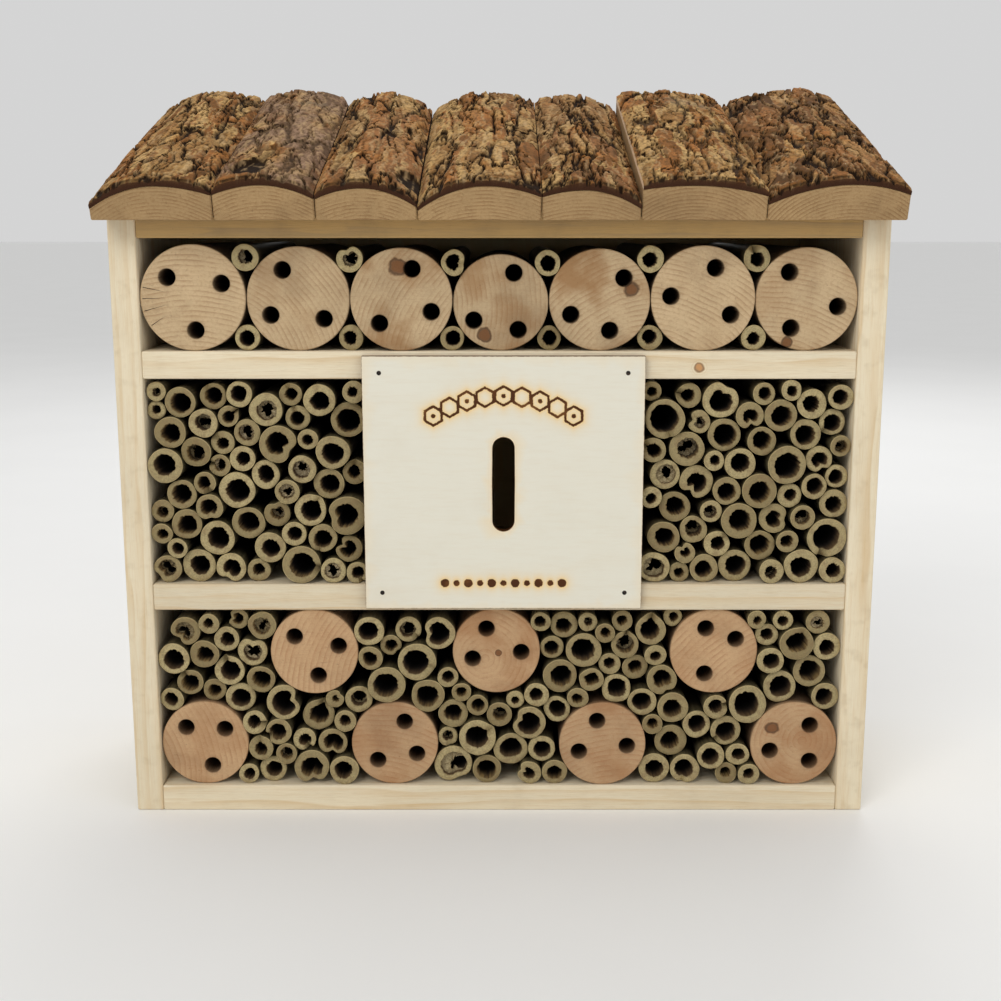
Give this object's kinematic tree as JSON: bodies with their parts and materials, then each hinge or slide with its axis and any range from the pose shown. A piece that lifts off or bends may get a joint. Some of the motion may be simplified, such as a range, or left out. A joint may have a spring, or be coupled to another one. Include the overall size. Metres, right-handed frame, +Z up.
{
  "type": "insect hotel",
  "caption": "Wooden insect hotel with a pitched roof of bark-edged slabs, drilled logs, hollow canes and a slotted butterfly chamber.",
  "frame": {"origin": "middle of the underside, centred on the box from side to side and from front edge to back", "axes": "+Z up, front faces -Y, +X to the viewer's right when facing the front"},
  "size_m": [0.3644, 0.1631, 0.3575],
  "materials": {
    "frame_pine": "planed, unfinished",
    "roof_pine": "planed, unfinished",
    "back_ply": "plywood, unfinished",
    "plate_ply": "thin plywood with a burned edge",
    "slab_wood": "sawn end grain",
    "bark": "rough bark",
    "top_log_wood": "sawn end grain",
    "bottom_log_wood": "sawn end grain",
    "cane": "dry cane",
    "nail_steel": "dull",
    "brad_steel": "dull"
  },
  "bodies": {
    "root": {"back_nails": "nail_steel", "back_panel": "back_ply", "bark_1": "bark", "bark_2": "bark", "bark_3": "bark", "bark_4": "bark", "bark_5": "bark", "bark_6": "bark", "bark_7": "bark", "bottom_board": "frame_pine", "bottom_log_1": "bottom_log_wood", "bottom_log_2": "bottom_log_wood", "bottom_log_3": "bottom_log_wood", "bottom_log_4": "bottom_log_wood", "bottom_log_5": "bottom_log_wood", "bottom_log_6": "bottom_log_wood", "bottom_log_7": "bottom_log_wood", "canes_bottom": "cane", "canes_middle_left": "cane", "canes_middle_right": "cane", "canes_top": "cane", "divider_left": "frame_pine", "divider_nails": "nail_steel", "divider_right": "frame_pine", "lower_shelf": "frame_pine", "plate_brads": "brad_steel", "roof_board": "roof_pine", "roof_nails": "nail_steel", "roof_slab_1": "slab_wood", "roof_slab_2": "slab_wood", "roof_slab_3": "slab_wood", "roof_slab_4": "slab_wood", "roof_slab_5": "slab_wood", "roof_slab_6": "slab_wood", "roof_slab_7": "slab_wood", "side_board_left": "frame_pine", "side_board_right": "frame_pine", "side_nails": "nail_steel", "slot_plate": "plate_ply", "top_log_1": "top_log_wood", "top_log_2": "top_log_wood", "top_log_3": "top_log_wood", "top_log_4": "top_log_wood", "top_log_5": "top_log_wood", "top_log_6": "top_log_wood", "top_log_7": "top_log_wood", "upper_shelf": "frame_pine"}
  },
  "joints": []
}
